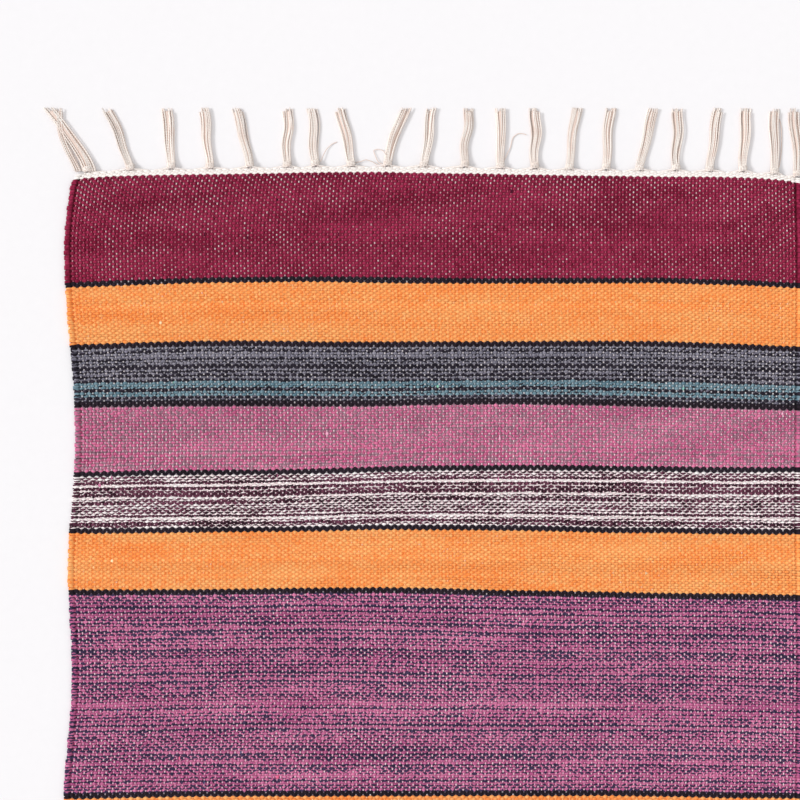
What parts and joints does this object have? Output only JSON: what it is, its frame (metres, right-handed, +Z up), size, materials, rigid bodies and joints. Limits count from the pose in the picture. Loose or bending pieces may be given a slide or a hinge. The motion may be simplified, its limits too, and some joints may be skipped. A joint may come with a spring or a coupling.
{
  "type": "runner rug",
  "caption": "Long flat-woven rug with coloured bands and thin dark pin lines across it, corded side edges, and knotted cotton tassels along both short ends.",
  "frame": {"origin": "on the floor, under the middle of the rug", "axes": "X across the rug, +Y along it towards the north end, +Z up from the floor through the rug"},
  "size_m": [0.738, 2.1022, 0.0068],
  "materials": {
    "crimson_weft": "matt crimson weft with specks of light warp showing",
    "striped_weft": "matt weft in orange, slate, mauve and melange stripes between black pin lines",
    "purple_weft": "matt pink-mauve and navy mottled weft",
    "orange_weft": "matt warm orange weft",
    "slate_weft": "matt grey, teal and black striped weft",
    "mauve_weft": "matt dusty mauve and pink weft",
    "melange_weft": "matt off-white and plum-black mottled weft",
    "black_weft": "matt near-black weft of the pin lines",
    "warp_cotton": "matt off-white cotton warp that shows between the weft",
    "cotton": "matt off-white cotton heading",
    "edge_cord": "matt corded edge, wrapped by the weft colours",
    "tassel_cotton": "matt undyed two-ply cotton cord"
  },
  "bodies": {
    "rug": {"heading_north": "cotton", "band_crimson_north": "crimson_weft", "stripes_north_outer": "striped_weft", "band_purple_north": "purple_weft", "stripes_north_inner": "striped_weft", "band_crimson_middle": "crimson_weft", "stripes_south_inner": "striped_weft", "band_purple_south": "purple_weft", "stripes_south_outer": "striped_weft", "band_crimson_south": "crimson_weft", "heading_south": "cotton", "selvedge_west": "edge_cord", "selvedge_east": "edge_cord"},
    "tassel_north_01": {"tassel_north_01": "tassel_cotton"},
    "tassel_north_02": {"tassel_north_02": "tassel_cotton"},
    "tassel_north_03": {"tassel_north_03": "tassel_cotton"},
    "tassel_north_04": {"tassel_north_04": "tassel_cotton"},
    "tassel_north_05": {"tassel_north_05": "tassel_cotton"},
    "tassel_north_06": {"tassel_north_06": "tassel_cotton"},
    "tassel_north_07": {"tassel_north_07": "tassel_cotton"},
    "tassel_north_08": {"tassel_north_08": "tassel_cotton"},
    "tassel_north_09": {"tassel_north_09": "tassel_cotton"},
    "tassel_north_10": {"tassel_north_10": "tassel_cotton"},
    "tassel_north_11": {"tassel_north_11": "tassel_cotton"},
    "tassel_north_12": {"tassel_north_12": "tassel_cotton"},
    "tassel_north_13": {"tassel_north_13": "tassel_cotton"},
    "tassel_north_14": {"tassel_north_14": "tassel_cotton"},
    "tassel_north_15": {"tassel_north_15": "tassel_cotton"},
    "tassel_north_16": {"tassel_north_16": "tassel_cotton"},
    "tassel_north_17": {"tassel_north_17": "tassel_cotton"},
    "tassel_north_18": {"tassel_north_18": "tassel_cotton"},
    "tassel_north_19": {"tassel_north_19": "tassel_cotton"},
    "tassel_north_20": {"tassel_north_20": "tassel_cotton"},
    "tassel_north_21": {"tassel_north_21": "tassel_cotton"},
    "tassel_south_01": {"tassel_south_01": "tassel_cotton"},
    "tassel_south_02": {"tassel_south_02": "tassel_cotton"},
    "tassel_south_03": {"tassel_south_03": "tassel_cotton"},
    "tassel_south_04": {"tassel_south_04": "tassel_cotton"},
    "tassel_south_05": {"tassel_south_05": "tassel_cotton"},
    "tassel_south_06": {"tassel_south_06": "tassel_cotton"},
    "tassel_south_07": {"tassel_south_07": "tassel_cotton"},
    "tassel_south_08": {"tassel_south_08": "tassel_cotton"},
    "tassel_south_09": {"tassel_south_09": "tassel_cotton"},
    "tassel_south_10": {"tassel_south_10": "tassel_cotton"},
    "tassel_south_11": {"tassel_south_11": "tassel_cotton"},
    "tassel_south_12": {"tassel_south_12": "tassel_cotton"},
    "tassel_south_13": {"tassel_south_13": "tassel_cotton"},
    "tassel_south_14": {"tassel_south_14": "tassel_cotton"},
    "tassel_south_15": {"tassel_south_15": "tassel_cotton"},
    "tassel_south_16": {"tassel_south_16": "tassel_cotton"},
    "tassel_south_17": {"tassel_south_17": "tassel_cotton"},
    "tassel_south_18": {"tassel_south_18": "tassel_cotton"},
    "tassel_south_19": {"tassel_south_19": "tassel_cotton"},
    "tassel_south_20": {"tassel_south_20": "tassel_cotton"},
    "tassel_south_21": {"tassel_south_21": "tassel_cotton"}
  },
  "joints": [
    {"name": "lift_north_01", "type": "hinge", "parent": "rug", "child": "tassel_north_01", "pos_m": [-0.332, 0.99204, 0.0034], "axis": [1, 0, 0], "range_deg": [0, 160]},
    {"name": "lift_north_02", "type": "hinge", "parent": "rug", "child": "tassel_north_02", "pos_m": [-0.291, 0.99432, 0.0034], "axis": [1, 0, 0], "range_deg": [0, 160]},
    {"name": "lift_north_03", "type": "hinge", "parent": "rug", "child": "tassel_north_03", "pos_m": [-0.252, 0.99509, 0.0034], "axis": [1, 0, 0], "range_deg": [0, 160]},
    {"name": "lift_north_04", "type": "hinge", "parent": "rug", "child": "tassel_north_04", "pos_m": [-0.215, 0.99576, 0.0034], "axis": [1, 0, 0], "range_deg": [0, 160]},
    {"name": "lift_north_05", "type": "hinge", "parent": "rug", "child": "tassel_north_05", "pos_m": [-0.177, 0.99651, 0.0034], "axis": [1, 0, 0], "range_deg": [0, 160]},
    {"name": "lift_north_06", "type": "hinge", "parent": "rug", "child": "tassel_north_06", "pos_m": [-0.141, 0.99719, 0.0034], "axis": [1, 0, 0], "range_deg": [0, 160]},
    {"name": "lift_north_07", "type": "hinge", "parent": "rug", "child": "tassel_north_07", "pos_m": [-0.114, 0.99759, 0.0034], "axis": [1, 0, 0], "range_deg": [0, 160]},
    {"name": "lift_north_08", "type": "hinge", "parent": "rug", "child": "tassel_north_08", "pos_m": [-0.08, 0.99787, 0.0034], "axis": [1, 0, 0], "range_deg": [0, 160]},
    {"name": "lift_north_09", "type": "hinge", "parent": "rug", "child": "tassel_north_09", "pos_m": [-0.045, 0.99784, 0.0034], "axis": [1, 0, 0], "range_deg": [0, 160]},
    {"name": "lift_north_10", "type": "hinge", "parent": "rug", "child": "tassel_north_10", "pos_m": [-0.01, 0.99748, 0.0034], "axis": [1, 0, 0], "range_deg": [0, 160]},
    {"name": "lift_north_11", "type": "hinge", "parent": "rug", "child": "tassel_north_11", "pos_m": [0.029, 0.99679, 0.0034], "axis": [1, 0, 0], "range_deg": [0, 160]},
    {"name": "lift_north_12", "type": "hinge", "parent": "rug", "child": "tassel_north_12", "pos_m": [0.063, 0.99605, 0.0034], "axis": [1, 0, 0], "range_deg": [0, 160]},
    {"name": "lift_north_13", "type": "hinge", "parent": "rug", "child": "tassel_north_13", "pos_m": [0.096, 0.99533, 0.0034], "axis": [1, 0, 0], "range_deg": [0, 160]},
    {"name": "lift_north_14", "type": "hinge", "parent": "rug", "child": "tassel_north_14", "pos_m": [0.129, 0.99472, 0.0034], "axis": [1, 0, 0], "range_deg": [0, 160]},
    {"name": "lift_north_15", "type": "hinge", "parent": "rug", "child": "tassel_north_15", "pos_m": [0.164, 0.99422, 0.0034], "axis": [1, 0, 0], "range_deg": [0, 160]},
    {"name": "lift_north_16", "type": "hinge", "parent": "rug", "child": "tassel_north_16", "pos_m": [0.196, 0.99391, 0.0034], "axis": [1, 0, 0], "range_deg": [0, 160]},
    {"name": "lift_north_17", "type": "hinge", "parent": "rug", "child": "tassel_north_17", "pos_m": [0.231, 0.99365, 0.0034], "axis": [1, 0, 0], "range_deg": [0, 160]},
    {"name": "lift_north_18", "type": "hinge", "parent": "rug", "child": "tassel_north_18", "pos_m": [0.263, 0.99333, 0.0034], "axis": [1, 0, 0], "range_deg": [0, 160]},
    {"name": "lift_north_19", "type": "hinge", "parent": "rug", "child": "tassel_north_19", "pos_m": [0.295, 0.9926, 0.0034], "axis": [1, 0, 0], "range_deg": [0, 160]},
    {"name": "lift_north_20", "type": "hinge", "parent": "rug", "child": "tassel_north_20", "pos_m": [0.325, 0.99075, 0.0034], "axis": [1, 0, 0], "range_deg": [0, 160]},
    {"name": "lift_north_21", "type": "hinge", "parent": "rug", "child": "tassel_north_21", "pos_m": [0.347, 0.98755, 0.0034], "axis": [1, 0, 0], "range_deg": [0, 160]},
    {"name": "lift_south_01", "type": "hinge", "parent": "rug", "child": "tassel_south_01", "pos_m": [0.332, -0.99204, 0.0034], "axis": [-1, 0, 0], "range_deg": [0, 160]},
    {"name": "lift_south_02", "type": "hinge", "parent": "rug", "child": "tassel_south_02", "pos_m": [0.291, -0.99432, 0.0034], "axis": [-1, 0, 0], "range_deg": [0, 160]},
    {"name": "lift_south_03", "type": "hinge", "parent": "rug", "child": "tassel_south_03", "pos_m": [0.252, -0.99509, 0.0034], "axis": [-1, 0, 0], "range_deg": [0, 160]},
    {"name": "lift_south_04", "type": "hinge", "parent": "rug", "child": "tassel_south_04", "pos_m": [0.215, -0.99576, 0.0034], "axis": [-1, 0, 0], "range_deg": [0, 160]},
    {"name": "lift_south_05", "type": "hinge", "parent": "rug", "child": "tassel_south_05", "pos_m": [0.177, -0.99651, 0.0034], "axis": [-1, 0, 0], "range_deg": [0, 160]},
    {"name": "lift_south_06", "type": "hinge", "parent": "rug", "child": "tassel_south_06", "pos_m": [0.141, -0.99719, 0.0034], "axis": [-1, 0, 0], "range_deg": [0, 160]},
    {"name": "lift_south_07", "type": "hinge", "parent": "rug", "child": "tassel_south_07", "pos_m": [0.114, -0.99759, 0.0034], "axis": [-1, 0, 0], "range_deg": [0, 160]},
    {"name": "lift_south_08", "type": "hinge", "parent": "rug", "child": "tassel_south_08", "pos_m": [0.08, -0.99787, 0.0034], "axis": [-1, 0, 0], "range_deg": [0, 160]},
    {"name": "lift_south_09", "type": "hinge", "parent": "rug", "child": "tassel_south_09", "pos_m": [0.045, -0.99784, 0.0034], "axis": [-1, 0, 0], "range_deg": [0, 160]},
    {"name": "lift_south_10", "type": "hinge", "parent": "rug", "child": "tassel_south_10", "pos_m": [0.01, -0.99748, 0.0034], "axis": [-1, 0, 0], "range_deg": [0, 160]},
    {"name": "lift_south_11", "type": "hinge", "parent": "rug", "child": "tassel_south_11", "pos_m": [-0.029, -0.99679, 0.0034], "axis": [-1, 0, 0], "range_deg": [0, 160]},
    {"name": "lift_south_12", "type": "hinge", "parent": "rug", "child": "tassel_south_12", "pos_m": [-0.063, -0.99605, 0.0034], "axis": [-1, 0, 0], "range_deg": [0, 160]},
    {"name": "lift_south_13", "type": "hinge", "parent": "rug", "child": "tassel_south_13", "pos_m": [-0.096, -0.99533, 0.0034], "axis": [-1, 0, 0], "range_deg": [0, 160]},
    {"name": "lift_south_14", "type": "hinge", "parent": "rug", "child": "tassel_south_14", "pos_m": [-0.129, -0.99472, 0.0034], "axis": [-1, 0, 0], "range_deg": [0, 160]},
    {"name": "lift_south_15", "type": "hinge", "parent": "rug", "child": "tassel_south_15", "pos_m": [-0.164, -0.99422, 0.0034], "axis": [-1, 0, 0], "range_deg": [0, 160]},
    {"name": "lift_south_16", "type": "hinge", "parent": "rug", "child": "tassel_south_16", "pos_m": [-0.196, -0.99391, 0.0034], "axis": [-1, 0, 0], "range_deg": [0, 160]},
    {"name": "lift_south_17", "type": "hinge", "parent": "rug", "child": "tassel_south_17", "pos_m": [-0.231, -0.99365, 0.0034], "axis": [-1, 0, 0], "range_deg": [0, 160]},
    {"name": "lift_south_18", "type": "hinge", "parent": "rug", "child": "tassel_south_18", "pos_m": [-0.263, -0.99333, 0.0034], "axis": [-1, 0, 0], "range_deg": [0, 160]},
    {"name": "lift_south_19", "type": "hinge", "parent": "rug", "child": "tassel_south_19", "pos_m": [-0.295, -0.9926, 0.0034], "axis": [-1, 0, 0], "range_deg": [0, 160]},
    {"name": "lift_south_20", "type": "hinge", "parent": "rug", "child": "tassel_south_20", "pos_m": [-0.325, -0.99075, 0.0034], "axis": [-1, 0, 0], "range_deg": [0, 160]},
    {"name": "lift_south_21", "type": "hinge", "parent": "rug", "child": "tassel_south_21", "pos_m": [-0.347, -0.98755, 0.0034], "axis": [-1, 0, 0], "range_deg": [0, 160]}
  ]
}
